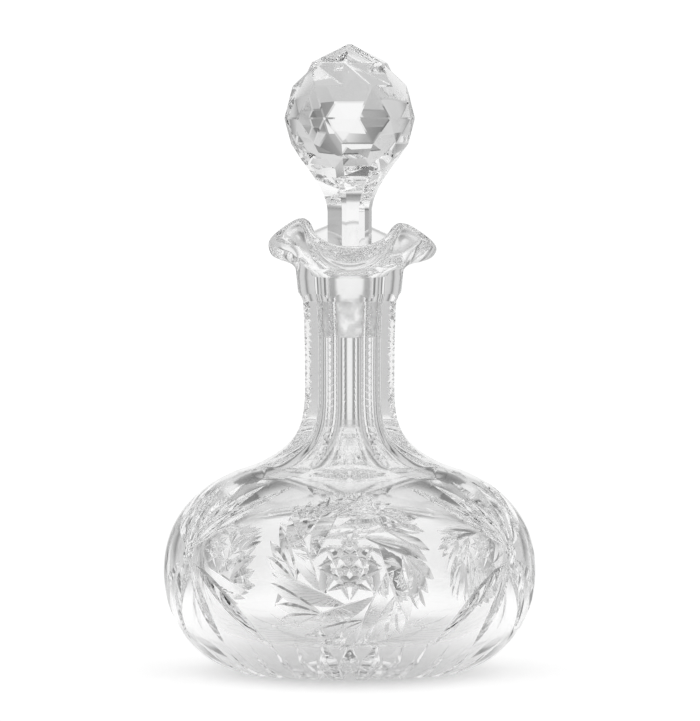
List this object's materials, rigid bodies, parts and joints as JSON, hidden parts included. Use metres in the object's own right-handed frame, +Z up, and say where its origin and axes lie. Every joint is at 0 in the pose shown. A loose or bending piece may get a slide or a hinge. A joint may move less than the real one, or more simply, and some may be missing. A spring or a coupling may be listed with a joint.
{
  "type": "cut glass cruet",
  "caption": "Squat cut glass cruet with pinwheel cutting, a fluted notched neck, a lip with three pouring spouts and a lift-out faceted ball stopper.",
  "frame": {"origin": "centre of the flat base that the bottle stands on", "axes": "+Z up along the bottle's axis, towards the stopper; -Y faces the viewer and looks at a pinwheel and at a spout of the lip"},
  "size_m": [0.1188, 0.1188, 0.2],
  "materials": {
    "bottle_glass": "polished cut lead crystal, ground inside the neck",
    "stopper_glass": "polished cut lead crystal, ground plug"
  },
  "bodies": {
    "bottle": {"bottle": "bottle_glass"},
    "stopper": {"stopper": "stopper_glass"}
  },
  "joints": [
    {"name": "stopper_lift", "type": "slide", "parent": "bottle", "child": "stopper", "axis": [0, 0, 1], "range_m": [0, 0.05]}
  ]
}
